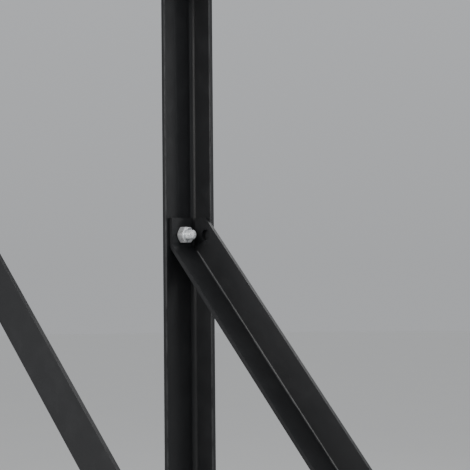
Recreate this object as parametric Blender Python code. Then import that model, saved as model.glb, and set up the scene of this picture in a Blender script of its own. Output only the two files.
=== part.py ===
"""A rectangular lighting truss section, built from black steel angle and M10 bolts.

Four unequal angle posts stand with their long legs on the narrow faces and their short
legs on the wide faces, open inwards. A welded angle frame closes each end. Each wide face
has one long brace, whose outstanding leg is slit from the other at both ends and bent
into an upright tab, bolted flat on a post's long leg. Each narrow face has a short brace.

Lengths are in metres and +Z is up. The origin is at the middle of the foot of the section.
"""
from math import asin, atan2, cos, hypot, pi, radians, sin, tan

import bmesh
import bpy
from mathutils import Matrix, Vector

# The whole section
SECTION_WIDTH = 0.580
SECTION_DEPTH = 0.310
SECTION_HEIGHT = 1.050

# Posts: long leg on the narrow face, short leg on the wide face
POST_LONG = 0.045
POST_SHORT = 0.030
POST_THICK = 0.005
POST_ROOT_RADIUS = 0.005
POST_TOE_RADIUS = 0.0012

# Braces: equal angle
BRACE_LEG = 0.035
BRACE_THICK = 0.004
BRACE_GAUGE = 0.020
TAB_PAST_HOLE = 0.0175
TAB_HOLE_TO_BEND = 0.0124
SLIT_WIDTH = 0.002
SPARE_HOLE_INSET = 0.0265
MAIN_TOP_HOLE_DROP = 0.292
MAIN_LOW_HOLE_RISE = 0.076
SIDE_LOW_HOLE_RISE = 0.100
SIDE_HOLE_SPACING = 0.297
SIDE_END_PAST_HOLE = 0.012

# End frames: equal angle, one leg up against the posts, the other flat on the end
FRAME_LEG = 0.035
FRAME_THICK = 0.004
FRAME_CORNER_CLEARANCE = 0.0015
FRAME_BOLT_RISE = 0.020
FRAME_NUT_CLEARANCE = 0.0005
FRAME_TIP_CLEARANCE = 0.0028
JOIN_HOLE = 0.013
JOIN_HOLE_GAUGE = 0.020
JOIN_HOLE_SPACING = 0.280

# Bolts and nuts
BOLT_DIAMETER = 0.010
HEX_ACROSS_FLATS = 0.016
HEAD_HEIGHT = 0.0064
NUT_HEIGHT = 0.008
FRAME_BOLT_LENGTH = 0.020
BRACE_BOLT_LENGTH = 0.025
BOLT_HOLE_CLEARANCE = 0.001

# Fits
TOUCH_GAP = 0.0003
THREAD_GAP = 0.0003

# Fineness
ROUND_SIDES = 16
ARC_STEPS = 4
CUT_MARGIN = 0.004
WELD_DISTANCE = 1e-6
FLAT_ANGLE = radians(0.05)

# Places that follow from the sizes above
SEAT = POST_THICK + TOUCH_GAP
BRACE_FACE = SEAT + BRACE_THICK
TAB_GAUGE = SEAT + BRACE_GAUGE
BOLT_HOLE = BOLT_DIAMETER + BOLT_HOLE_CLEARANCE
MAIN_TOP_HOLE = SECTION_HEIGHT - MAIN_TOP_HOLE_DROP
MAIN_LOW_HOLE = MAIN_LOW_HOLE_RISE
SIDE_LOW_HOLE = SIDE_LOW_HOLE_RISE
SIDE_HIGH_HOLE = SIDE_LOW_HOLE_RISE + SIDE_HOLE_SPACING
HEX_ACROSS_CORNERS = HEX_ACROSS_FLATS / cos(radians(30))
FRAME_GAUGE_SHORT = SEAT + FRAME_THICK + HEX_ACROSS_CORNERS / 2 + FRAME_NUT_CLEARANCE
FRAME_GAUGE_LONG = FRAME_BOLT_LENGTH + HEX_ACROSS_CORNERS / 2 + FRAME_TIP_CLEARANCE

# Axes of an outline: its across, its up, and the way its depth runs
WIDE_FACE = Matrix(((1, 0, 0), (0, 0, -1), (0, 1, 0)))
LEFT_FACE = Matrix(((0, 0, -1), (-1, 0, 0), (0, 1, 0)))
LEVEL = Matrix.Identity(3)

# Corners: name, side of X, side of Y, turn about Z, hand of the post
CORNERS = (
    ("back_left", -1, 1, 0.0, 1),
    ("back_right", 1, 1, 0.0, -1),
    ("front_left", -1, -1, pi, -1),
    ("front_right", 1, -1, pi, 1),
)

# Brace ends that each corner's post holds, and the heights of their holes. The right side
# brace is the left one turned over, clear of the feet of the main braces.
BRACE_ENDS = {
    "back_left": (("main_brace_top", MAIN_TOP_HOLE), ("side_brace_foot", SIDE_LOW_HOLE)),
    "front_left": (("main_brace_top", MAIN_TOP_HOLE), ("side_brace_top", SIDE_HIGH_HOLE)),
    "back_right": (("main_brace_foot", MAIN_LOW_HOLE),
                   ("side_brace_top", SECTION_HEIGHT - SIDE_LOW_HOLE)),
    "front_right": (("main_brace_foot", MAIN_LOW_HOLE),
                    ("side_brace_foot", SECTION_HEIGHT - SIDE_HIGH_HOLE)),
}


def clear_scene():
    for old in list(bpy.data.objects):
        bpy.data.objects.remove(old, do_unlink=True)


def make_collection(name):
    group = bpy.data.collections.new(name)
    bpy.context.scene.collection.children.link(group)
    return group


def make_material(name, colour, roughness, metallic):
    material = bpy.data.materials.new(name)
    material.use_nodes = True
    shader = material.node_tree.nodes["Principled BSDF"]
    shader.inputs["Base Color"].default_value = (*colour, 1.0)
    shader.inputs["Roughness"].default_value = roughness
    shader.inputs["Metallic"].default_value = metallic
    return material


def mesh_object(name, mesh, group):
    thing = bpy.data.objects.new(name, mesh)
    group.objects.link(thing)
    return thing


def tidy_mesh(mesh):
    """Weld a mesh's seams, close slivers left by cuts, make each flat one face, face outwards."""
    work = bmesh.new()
    work.from_mesh(mesh)
    bmesh.ops.remove_doubles(work, verts=work.verts, dist=WELD_DISTANCE)
    bmesh.ops.holes_fill(work, edges=work.edges, sides=3)
    bmesh.ops.dissolve_limit(work, angle_limit=FLAT_ANGLE, verts=work.verts, edges=work.edges)
    bmesh.ops.recalc_face_normals(work, faces=work.faces)
    work.to_mesh(mesh)
    work.free()


def outline_solid(name, outline, near, far, axes, group):
    """A flat outline, solid from one depth to the other, along the given axes."""
    curve = bpy.data.curves.new(name + "_outline", "CURVE")
    curve.dimensions = "2D"
    curve.fill_mode = "BOTH"
    curve.extrude = abs(far - near) / 2
    spline = curve.splines.new("POLY")
    spline.points.add(len(outline) - 1)
    for point, (across, up) in zip(spline.points, outline):
        point.co = (across, up, 0.0, 1.0)
    spline.use_cyclic_u = True
    drawn = bpy.data.objects.new(name + "_outline", curve)
    group.objects.link(drawn)
    bpy.context.view_layer.update()
    evaluated = drawn.evaluated_get(bpy.context.evaluated_depsgraph_get())
    mesh = bpy.data.meshes.new_from_object(evaluated)
    mesh.transform(Matrix.Translation((0.0, 0.0, (near + far) / 2)))
    mesh.transform(axes.to_4x4())
    bpy.data.objects.remove(drawn, do_unlink=True)
    tidy_mesh(mesh)
    return mesh_object(name, mesh, group)


def round_bar(name, diameter, start, end, group, sides=ROUND_SIDES):
    """A closed cylinder between two points."""
    start = Vector(start)
    end = Vector(end)
    work = bmesh.new()
    bmesh.ops.create_cone(
        work, cap_ends=True, segments=sides, radius1=diameter / 2,
        radius2=diameter / 2, depth=(end - start).length)
    turn = Vector((0, 0, 1)).rotation_difference(end - start)
    place = Matrix.Translation((start + end) / 2) @ turn.to_matrix().to_4x4()
    bmesh.ops.transform(work, matrix=place, verts=work.verts)
    mesh = bpy.data.meshes.new(name)
    work.to_mesh(mesh)
    work.free()
    return mesh_object(name, mesh, group)


def box(name, low, high, group):
    """A closed box between two corners."""
    low = Vector(low)
    high = Vector(high)
    work = bmesh.new()
    bmesh.ops.create_cube(work, size=1.0)
    place = Matrix.Translation((low + high) / 2) @ Matrix.Diagonal((*(high - low), 1.0))
    bmesh.ops.transform(work, matrix=place, verts=work.verts)
    mesh = bpy.data.meshes.new(name)
    work.to_mesh(mesh)
    work.free()
    return mesh_object(name, mesh, group)


def combine(body, tool, operation):
    """Join or cut one mesh object by another, and keep the result as a plain mesh."""
    change = body.modifiers.new(operation.lower(), "BOOLEAN")
    change.operation = operation
    change.solver = "EXACT"
    change.object = tool
    bpy.context.view_layer.update()
    evaluated = body.evaluated_get(bpy.context.evaluated_depsgraph_get())
    mesh = bpy.data.meshes.new_from_object(evaluated)
    body.modifiers.clear()
    body.data = mesh
    bpy.data.objects.remove(tool, do_unlink=True)


def hide_cutter(cutter):
    cutter.hide_render = True
    cutter.display_type = "WIRE"
    return cutter


def drill(body, diameter, lines):
    """Cut round holes along lines whose ends lie clear of the wall, in one pass."""
    work = bmesh.new()
    for start, end in lines:
        bit = round_bar(body.name + "_bit", diameter, start, end, CUTTERS)
        work.from_mesh(bit.data)
        bpy.data.objects.remove(bit, do_unlink=True)
    mesh = bpy.data.meshes.new(body.name + "_drill")
    work.to_mesh(mesh)
    work.free()
    cutter = mesh_object(body.name + "_drill", mesh, CUTTERS)
    combine(body, hide_cutter(cutter), "DIFFERENCE")


def arc(centre, radius, start, end):
    """Points along an arc, its two ends included."""
    points = []
    for step in range(ARC_STEPS + 1):
        angle = start + (end - start) * step / ARC_STEPS
        points.append((centre[0] + radius * cos(angle), centre[1] + radius * sin(angle)))
    return points


def finish(thing, name, material, location, turn=(0.0, 0.0, 0.0)):
    """Name a finished piece, give it its material and stand it in its place, turned."""
    thing.name = name
    thing.data.name = name
    thing.data.materials.clear()
    thing.data.materials.append(material)
    thing.location = location
    thing.rotation_euler = turn


def post_outline(hand):
    """Section of a post: outer corner at the origin, long leg to -Y, short leg across."""
    toe = POST_TOE_RADIUS
    root = POST_ROOT_RADIUS
    points = [(0.0, 0.0), (0.0, -POST_LONG)]
    points += arc((POST_THICK - toe, -POST_LONG + toe), toe, -pi / 2, 0.0)
    points += arc((POST_THICK + root, -POST_THICK - root), root, pi, pi / 2)
    points += arc((POST_SHORT - toe, -POST_THICK + toe), toe, -pi / 2, 0.0)
    points += [(POST_SHORT, 0.0)]
    return [(hand * across, along) for across, along in points]


def make_post(corner, side_x, side_y, turn, hand):
    post = outline_solid("post", post_outline(hand), 0.0, SECTION_HEIGHT, LEVEL, PARTS)
    reach = POST_THICK + CUT_MARGIN
    lines = []
    for height in (FRAME_BOLT_RISE, SECTION_HEIGHT - FRAME_BOLT_RISE):
        lines.append(((-hand * CUT_MARGIN, -FRAME_GAUGE_LONG, height),
                      (hand * reach, -FRAME_GAUGE_LONG, height)))
        lines.append(((hand * FRAME_GAUGE_SHORT, CUT_MARGIN, height),
                      (hand * FRAME_GAUGE_SHORT, -reach, height)))
    for _, height in BRACE_ENDS[corner]:
        lines.append(((-hand * CUT_MARGIN, -TAB_GAUGE, height),
                      (hand * reach, -TAB_GAUGE, height)))
    drill(post, BOLT_HOLE, lines)
    tidy_mesh(post.data)
    location = (side_x * SECTION_WIDTH / 2, side_y * SECTION_DEPTH / 2, 0.0)
    finish(post, "post_" + corner, BLACK_STEEL, location, (0.0, 0.0, turn))


def main_brace_line():
    """Bend points at the outer face and the slope from upright of a wide-face brace."""
    top_bend = MAIN_TOP_HOLE - TAB_HOLE_TO_BEND
    low_bend = MAIN_LOW_HOLE + TAB_HOLE_TO_BEND
    across = SECTION_WIDTH - 2 * SEAT
    drop = top_bend - low_bend
    slope = atan2(across, drop) - asin(BRACE_THICK / hypot(across, drop))
    return top_bend, low_bend, slope


def make_main_brace(name, side_y):
    """A wide-face brace, drawn for the back from its top post's outer corner; mirrored in front."""
    top_bend, low_bend, slope = main_brace_line()
    steep = 1 / tan(slope)
    rise_of_wall = BRACE_THICK / sin(slope)
    rise_of_leg = BRACE_LEG / sin(slope)
    right = SECTION_WIDTH

    def heel(across):
        return top_bend - (across - SEAT) * steep

    tab_top = MAIN_TOP_HOLE + TAB_PAST_HOLE
    tab_foot = MAIN_LOW_HOLE - TAB_PAST_HOLE
    standing_leg = [
        (SEAT, tab_top),
        (SEAT, top_bend),
        (right - BRACE_FACE, heel(right - BRACE_FACE)),
        (right - BRACE_FACE, tab_foot),
        (right - SEAT, tab_foot),
        (right - SEAT, low_bend),
        (BRACE_FACE, heel(BRACE_FACE) + rise_of_wall),
        (BRACE_FACE, tab_top),
    ]
    brace = outline_solid(name, standing_leg, SEAT, SEAT + BRACE_LEG, WIDE_FACE, PARTS)
    slit_end = BRACE_FACE + SLIT_WIDTH
    for low, high in (((-CUT_MARGIN, heel(slit_end)), (slit_end, tab_top + CUT_MARGIN)),
                      ((right - slit_end, tab_foot - CUT_MARGIN),
                       (right + CUT_MARGIN, heel(right - slit_end) + rise_of_wall))):
        cutter = box(name + "_slit", (low[0], -slit_end, low[1]),
                     (high[0], CUT_MARGIN, high[1]), CUTTERS)
        combine(brace, hide_cutter(cutter), "DIFFERENCE")
    trim = BRACE_FACE + SLIT_WIDTH / 2
    flat_top_across = SEAT + (top_bend + rise_of_leg - tab_top) / steep
    flat_leg = [
        (trim, tab_top),
        (trim, heel(trim)),
        (right - trim, heel(right - trim)),
        (right - trim, heel(right - trim) + rise_of_leg),
        (flat_top_across, tab_top),
    ]
    flat = outline_solid(name + "_flat", flat_leg, SEAT, BRACE_FACE, WIDE_FACE, PARTS)
    combine(brace, flat, "UNION")
    lines = []
    for start, end, height in ((-CUT_MARGIN, SEAT + BRACE_FACE, MAIN_TOP_HOLE),
                               (right - SEAT - BRACE_FACE, right + CUT_MARGIN, MAIN_LOW_HOLE)):
        lines.append(((start, -TAB_GAUGE, height), (end, -TAB_GAUGE, height)))
    low_spare = heel(right - SPARE_HOLE_INSET) + rise_of_leg / 2
    for across, height in ((SPARE_HOLE_INSET, MAIN_TOP_HOLE),
                           (right - SPARE_HOLE_INSET, low_spare)):
        lines.append(((across, 0.0, height), (across, -BRACE_FACE - CUT_MARGIN, height)))
    drill(brace, BOLT_HOLE, lines)
    brace.data.transform(Matrix.Diagonal((1.0, side_y, 1.0, 1.0)))
    tidy_mesh(brace.data)
    finish(brace, name, BLACK_STEEL, (-SECTION_WIDTH / 2, side_y * SECTION_DEPTH / 2, 0.0))


def make_side_brace(name, turned_over):
    """A narrow-face brace, drawn for the left from its foot post's outer corner."""
    run = SECTION_DEPTH - 2 * TAB_GAUGE
    slope = atan2(run, SIDE_HIGH_HOLE - SIDE_LOW_HOLE)
    steep = 1 / tan(slope)
    start = TAB_GAUGE - SIDE_END_PAST_HOLE
    end = SECTION_DEPTH - TAB_GAUGE + SIDE_END_PAST_HOLE

    def edge(along, from_heel):
        middle = SIDE_LOW_HOLE + (along - TAB_GAUGE) * steep
        return middle + (from_heel - BRACE_GAUGE) / sin(slope)

    def strip(width):
        return [(start, edge(start, 0.0)), (end, edge(end, 0.0)),
                (end, edge(end, width)), (start, edge(start, width))]

    brace = outline_solid(name, strip(BRACE_LEG), -BRACE_FACE, -SEAT, LEFT_FACE, PARTS)
    standing = outline_solid(name + "_standing", strip(BRACE_THICK),
                             -SEAT - BRACE_LEG, -SEAT, LEFT_FACE, PARTS)
    combine(brace, standing, "UNION")
    lines = []
    for along, height in ((TAB_GAUGE, SIDE_LOW_HOLE),
                          (SECTION_DEPTH - TAB_GAUGE, SIDE_HIGH_HOLE)):
        lines.append(((0.0, -along, height), (BRACE_FACE + CUT_MARGIN, -along, height)))
    drill(brace, BOLT_HOLE, lines)
    tidy_mesh(brace.data)
    if turned_over:
        corner = (SECTION_WIDTH / 2, SECTION_DEPTH / 2, SECTION_HEIGHT)
        finish(brace, name, BLACK_STEEL, corner, (0.0, pi, 0.0))
    else:
        finish(brace, name, BLACK_STEEL, (-SECTION_WIDTH / 2, SECTION_DEPTH / 2, 0.0))


def round_cornered(half_x, half_y, radius):
    points = []
    for side_x, side_y, start in ((1, 1, 0.0), (-1, 1, pi / 2), (-1, -1, pi), (1, -1, 3 * pi / 2)):
        centre = (side_x * (half_x - radius), side_y * (half_y - radius))
        points += arc(centre, radius, start, start + pi / 2)
    return points


def make_end_frame(name, turned_over):
    """A welded angle frame, drawn for the foot and turned over for the head."""
    half_x = SECTION_WIDTH / 2 - SEAT
    half_y = SECTION_DEPTH / 2 - SEAT
    plan = round_cornered(half_x, half_y, POST_ROOT_RADIUS + FRAME_CORNER_CLEARANCE)
    frame = outline_solid(name, plan, 0.0, FRAME_LEG, LEVEL, PARTS)
    cavity = box(name + "_cavity", (FRAME_THICK - half_x, FRAME_THICK - half_y, FRAME_THICK),
                 (half_x - FRAME_THICK, half_y - FRAME_THICK, FRAME_LEG + CUT_MARGIN), CUTTERS)
    combine(frame, hide_cutter(cavity), "DIFFERENCE")
    opening = box(name + "_opening", (FRAME_LEG - half_x, FRAME_LEG - half_y, -CUT_MARGIN),
                  (half_x - FRAME_LEG, half_y - FRAME_LEG, FRAME_LEG), CUTTERS)
    combine(frame, hide_cutter(opening), "DIFFERENCE")
    lines = []
    for side_x in (-1, 1):
        for side_y in (-1, 1):
            near_x = side_x * (half_x + CUT_MARGIN)
            near_y = side_y * (half_y + CUT_MARGIN)
            in_x = side_x * (half_x - FRAME_THICK - CUT_MARGIN)
            in_y = side_y * (half_y - FRAME_THICK - CUT_MARGIN)
            bolt_y = side_y * (SECTION_DEPTH / 2 - FRAME_GAUGE_LONG)
            bolt_x = side_x * (SECTION_WIDTH / 2 - FRAME_GAUGE_SHORT)
            lines.append(((near_x, bolt_y, FRAME_BOLT_RISE), (in_x, bolt_y, FRAME_BOLT_RISE)))
            lines.append(((bolt_x, near_y, FRAME_BOLT_RISE), (bolt_x, in_y, FRAME_BOLT_RISE)))
    drill(frame, BOLT_HOLE, lines)
    joins = [((x, y, -CUT_MARGIN), (x, y, FRAME_THICK + CUT_MARGIN)) for x, y in join_hole_places()]
    drill(frame, JOIN_HOLE, joins)
    tidy_mesh(frame.data)
    if turned_over:
        finish(frame, name, BLACK_STEEL, (0.0, 0.0, SECTION_HEIGHT), (pi, 0.0, 0.0))
    else:
        finish(frame, name, BLACK_STEEL, (0.0, 0.0, 0.0))


def join_hole_places():
    """Holes in the flat leg of an end frame: two on each wide side, one on each narrow side."""
    line_x = SECTION_WIDTH / 2 - SEAT - JOIN_HOLE_GAUGE
    line_y = SECTION_DEPTH / 2 - SEAT - JOIN_HOLE_GAUGE
    places = []
    for side in (-1, 1):
        for half in (-1, 1):
            places.append((half * JOIN_HOLE_SPACING / 2, side * line_y))
        places.append((side * line_x, 0.0))
    return places


def hexagon_bar(name, low, high):
    """A hexagonal prism on the Z axis with corners on X."""
    prism = round_bar(name, HEX_ACROSS_CORNERS, (0.0, 0.0, low), (0.0, 0.0, high), PARTS, sides=6)
    prism.data.transform(Matrix.Rotation(pi / 2, 4, "Z"))
    return prism


def bolt_mesh(length):
    """A hexagon bolt: its head below the XY plane, its plain shank above."""
    bolt = hexagon_bar("bolt", -HEAD_HEIGHT, 0.0)
    shank = round_bar("shank", BOLT_DIAMETER, (0.0, 0.0, -HEAD_HEIGHT / 2), (0.0, 0.0, length), PARTS)
    combine(bolt, shank, "UNION")
    mesh = bolt.data
    bpy.data.objects.remove(bolt, do_unlink=True)
    return mesh


def nut_mesh():
    """A hexagon nut that starts at the XY plane, bored clear of the bolt."""
    nut = hexagon_bar("nut", 0.0, NUT_HEIGHT)
    bore = (BOLT_DIAMETER + 2 * THREAD_GAP) / cos(pi / ROUND_SIDES)
    drill(nut, bore, [((0.0, 0.0, -CUT_MARGIN), (0.0, 0.0, NUT_HEIGHT + CUT_MARGIN))])
    mesh = nut.data
    bpy.data.objects.remove(nut, do_unlink=True)
    return mesh


def place_fastener(name, mesh, outer_face, inward, depth):
    """Stand a bolt or nut on its hole, its corners level, at a depth from the outer face."""
    up = Vector((0.0, 0.0, 1.0))
    turn = Matrix((up.cross(inward), up, inward)).transposed()
    thing = mesh_object(name, mesh.copy(), PARTS)
    thing.data.name = name
    thing.data.materials.clear()
    thing.data.materials.append(ZINC)
    thing.location = outer_face + inward * depth
    thing.rotation_euler = turn.to_euler()


def make_fastener_pair(place, outer_face, inward, grip, bolt):
    place_fastener("bolt_" + place, bolt, outer_face, inward, -TOUCH_GAP)
    place_fastener("nut_" + place, NUT, outer_face, inward, grip + TOUCH_GAP)


def make_fasteners():
    frame_bolt = bolt_mesh(FRAME_BOLT_LENGTH)
    brace_bolt = bolt_mesh(BRACE_BOLT_LENGTH)
    for corner, side_x, side_y, _, _ in CORNERS:
        outer_x = side_x * SECTION_WIDTH / 2
        outer_y = side_y * SECTION_DEPTH / 2
        to_middle_x = Vector((-side_x, 0.0, 0.0))
        to_middle_y = Vector((0.0, -side_y, 0.0))
        for end, height in (("foot", FRAME_BOLT_RISE), ("head", SECTION_HEIGHT - FRAME_BOLT_RISE)):
            on_side = Vector((outer_x, outer_y - side_y * FRAME_GAUGE_LONG, height))
            on_face = Vector((outer_x - side_x * FRAME_GAUGE_SHORT, outer_y, height))
            grip = SEAT + FRAME_THICK
            make_fastener_pair(f"{corner}_{end}_side", on_side, to_middle_x, grip, frame_bolt)
            make_fastener_pair(f"{corner}_{end}_face", on_face, to_middle_y, grip, frame_bolt)
        for end, height in BRACE_ENDS[corner]:
            on_side = Vector((outer_x, outer_y - side_y * TAB_GAUGE, height))
            make_fastener_pair(f"{corner}_{end}", on_side, to_middle_x, BRACE_FACE, brace_bolt)


clear_scene()
PARTS = make_collection("lighting_truss_section")
CUTTERS = make_collection("cutters")
BLACK_STEEL = make_material("black_painted_steel", (0.022, 0.023, 0.026), 0.45, 0.0)
ZINC = make_material("bright_zinc", (0.62, 0.63, 0.65), 0.3, 1.0)
NUT = nut_mesh()
for each_corner in CORNERS:
    make_post(*each_corner)
make_end_frame("end_frame_foot", False)
make_end_frame("end_frame_head", True)
make_main_brace("main_brace_back", 1)
make_main_brace("main_brace_front", -1)
make_side_brace("side_brace_left", False)
make_side_brace("side_brace_right", True)
make_fasteners()
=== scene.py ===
"""Finished surfaces for a rectangular lighting truss section of black steel angle.

Posts, braces and end frames are rolled angle with real root fillets, eased edges, bends,
slits and holes. Bolts and nuts are chamfered and threaded. Run as a script, it builds the
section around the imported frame. Lengths are in metres and +Z is up.
"""

from math import asin, atan2, cos, hypot, pi, radians, sin, tan

import bmesh
import bpy
from mathutils import Matrix, Vector


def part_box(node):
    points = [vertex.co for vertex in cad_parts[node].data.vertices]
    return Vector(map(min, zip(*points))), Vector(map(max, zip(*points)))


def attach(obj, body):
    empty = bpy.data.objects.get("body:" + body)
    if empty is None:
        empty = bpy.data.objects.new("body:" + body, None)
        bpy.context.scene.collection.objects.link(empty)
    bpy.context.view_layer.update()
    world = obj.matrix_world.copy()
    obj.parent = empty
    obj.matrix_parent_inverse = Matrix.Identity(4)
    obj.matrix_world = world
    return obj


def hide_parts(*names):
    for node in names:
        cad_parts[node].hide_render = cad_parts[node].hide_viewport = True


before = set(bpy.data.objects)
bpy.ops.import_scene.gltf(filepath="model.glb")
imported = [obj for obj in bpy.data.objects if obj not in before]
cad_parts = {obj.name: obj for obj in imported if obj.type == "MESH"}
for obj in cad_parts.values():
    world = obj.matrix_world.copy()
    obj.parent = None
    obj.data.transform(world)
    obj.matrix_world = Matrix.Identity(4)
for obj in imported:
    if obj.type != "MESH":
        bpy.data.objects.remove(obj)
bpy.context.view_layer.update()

bl_info = {
    "name": "Lighting Truss Section",
    "version": (1, 0, 0),
    "blender": (4, 5, 0),
    "location": "View3D > Sidebar > Truss",
    "description": "Builds the angle posts, braces, end frames and bolts of a truss section",
    "category": "Object",
}

ROOT = "root"
VOLUME_TOLERANCE = 0.05

# Edges sharper than these are shaded sharp, or rounded on the steel and the fasteners
SHARP_ANGLE = radians(30)
STEEL_EASE_ANGLE = radians(38)
FASTENER_EASE_ANGLE = radians(25)
# Faces nearer level with each other, and points nearer each other, than these become one
FLAT_ANGLE = radians(0.1)
SAME_POINT = 2e-6
# Faces narrower than this share of an eased edge's width belong to the edge
RIM_SHARE = 1.2

# How far a drill or slit, a saw and a fastener's blank run past what is cut
CUT_MARGIN = 0.004
SAW_MARGIN = 0.01
BLANK_MARGIN = 0.001
# How far a saw takes away what is past the end of a brace
SAW_REACH = 0.4
# How far the brace's fillet is sunk into its legs, and a bead stops short of the toe
FILLET_SINK = 0.001
BEAD_STOP = 0.002

# Shares of the half width across flats: the hexagon's turned face and its washer face
TURNED_FACE = 0.95
WASHER_FACE = 0.94
# The turning's largest radius, as a share of the hexagon's corners, and the stem in the head
TURNING_REACH = 1.02
STEM_SHARE = 0.8
# Steepness and offset of the thread's flanks, which leave its crest and root flat
THREAD_FLANK = 1.6
THREAD_OFFSET = 0.25

# Each light's bearing and height in degrees, distance from the joint, size and tint
LIGHTS = {
    "key": (4, 22, 2.2, (0.9, 1.4), (1.0, 0.985, 0.96)),
    "fill": (95, 12, 2.6, (1.4, 1.4), (0.94, 0.97, 1.0)),
    "rim": (178, 42, 2.6, (1.4, 1.4), (1.0, 1.0, 1.0)),
    "glint": (137, 8, 2.6, (0.5, 0.5), (1.0, 1.0, 1.0)),
}
# The surround's tint, and the sine of the height from which it is as bright as overhead
SKY_TINT = (0.95, 0.97, 1.0, 1.0)
SKY_HEIGHT = 0.5
FLOOR_RADIUS = 14.0
FLOOR_DROP = 0.0005

# Axes of an outline: its across, its up, and the way its depth runs
WIDE_FACE = Matrix(((1, 0, 0), (0, 0, -1), (0, 1, 0)))
LEVEL = Matrix.Identity(3)
HALF_TURN = Matrix.Rotation(pi, 4, "Z")

# Corners of the section: side of X, side of Y, turned half round, hand of the post
CORNERS = {
    "back_left": (-1, 1, False, 1),
    "back_right": (1, 1, False, -1),
    "front_left": (-1, -1, True, -1),
    "front_right": (1, -1, True, 1),
}


def node_box(node):
    low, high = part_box(node)
    return Vector(low), Vector(high)


def node_middle(node):
    low, high = node_box(node)
    return (low + high) / 2


POST_LOW, POST_HIGH = node_box("post_back_left")
HALF_WIDTH = -POST_LOW.x
HALF_DEPTH = POST_HIGH.y
HEIGHT = POST_HIGH.z
POST_SHORT = POST_HIGH.x - POST_LOW.x
POST_LONG = POST_HIGH.y - POST_LOW.y
BRACE_LOW, BRACE_HIGH = node_box("main_brace_back")
SEAT = BRACE_LOW.x + HALF_WIDTH
BRACE_LEG = BRACE_HIGH.y - BRACE_LOW.y
FRAME_LOW, FRAME_HIGH = node_box("end_frame_foot")
FRAME_LEG = FRAME_HIGH.z - FRAME_LOW.z
NUT_LOW, NUT_HIGH = node_box("nut_back_left_main_brace_top")
NUT_HEIGHT = NUT_HIGH.x - NUT_LOW.x
ACROSS_FLATS = NUT_HIGH.z - NUT_LOW.z
CORNER_REACH = ACROSS_FLATS / 2 / cos(pi / 6)
TOP_HOLE = (NUT_HIGH.z + NUT_LOW.z) / 2
TAB_GAUGE = HALF_DEPTH - (NUT_HIGH.y + NUT_LOW.y) / 2
LOW_HOLE = node_middle("nut_back_right_main_brace_foot").z
SIDE_LOW_HOLE = node_middle("nut_back_left_side_brace_foot").z
SIDE_HIGH_HOLE = node_middle("nut_front_left_side_brace_top").z
FOOT_BOLT_HEIGHT = node_middle("nut_back_left_foot_side").z
FRAME_GAUGE_LONG = HALF_DEPTH - node_middle("nut_back_left_foot_side").y
FRAME_GAUGE_SHORT = node_middle("nut_back_left_foot_face").x + HALF_WIDTH


def brace_bolt_heights(corner):
    """Heights of the bolts that hold brace ends to a corner's post."""
    start = "nut_" + corner + "_"
    return [node_middle(node).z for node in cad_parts
            if node.startswith(start) and "_brace_" in node]


# ---------------------------------------------------------------- settings

def length(name, description, default):
    return bpy.props.FloatProperty(
        name=name, description=description, default=default, min=0.0, unit="LENGTH", precision=4)


def factor(name, description, default):
    return bpy.props.FloatProperty(
        name=name, description=description, default=default, min=0.0, max=1.0, subtype="FACTOR")


def colour(name, description, default):
    return bpy.props.FloatVectorProperty(
        name=name, description=description, default=default, size=3, min=0.0, max=1.0,
        subtype="COLOR")


def angle(name, description, degrees):
    return bpy.props.FloatProperty(
        name=name, description=description, default=radians(degrees), subtype="ANGLE")


def amount(name, description, default):
    return bpy.props.FloatProperty(name=name, description=description, default=default, min=0.0)


def settings_of(kind, name, description):
    return bpy.props.PointerProperty(type=kind, name=name, description=description)


class SteelSettings(bpy.types.PropertyGroup):
    """Sizes of the rolled angle and its holes."""
    post_thick: length("Post Thickness", "Thickness of the post angle", 0.005)
    post_root: length("Post Root Radius", "Inside fillet of the post angle", 0.005)
    brace_thick: length("Brace Thickness", "Thickness of the brace angle", 0.004)
    brace_root: length("Brace Root Radius", "Inside fillet of the brace angle", 0.0016)
    frame_root: length("Frame Root Radius", "Inside fillet of the end frame angle", 0.0045)
    toe: length("Toe Radius", "Rounding of an angle's toe", 0.0012)
    heel: length("Heel Radius", "Rounding of an angle's heel", 0.0007)
    bend: length("Bend Radius", "Inside radius where a tab is bent", 0.006)
    edge: length("Eased Edge", "Width of the eased edge on cuts and holes", 0.00035)
    hole: length("Bolt Hole", "Diameter of a bolt hole", 0.011)
    join_hole: length("Join Hole", "Diameter of a joining hole in an end frame", 0.013)
    join_gauge: length("Join Gauge", "Joining holes from the frame's heel", 0.020)
    join_spacing: length("Join Spacing", "Joining holes apart on a wide side", 0.280)
    tab_past_hole: length("Tab Past Hole", "Tab beyond its hole", 0.0175)
    tab_to_bend: length("Hole To Bend", "Tab from its hole to its bend", 0.0124)
    slit: length("Slit", "Width of the slit between the brace's legs", 0.002)
    spare_inset: length("Spare Hole Inset", "Spare hole from the post's heel", 0.0265)
    side_gauge: length("Side Brace Gauge", "Holes of a side brace from its heel", 0.020)
    side_past_hole: length("Side Brace End", "Side brace beyond its hole, level", 0.012)
    corner: length("Frame Corner Radius", "Rounding of an end frame's corner", 0.0065)


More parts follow.
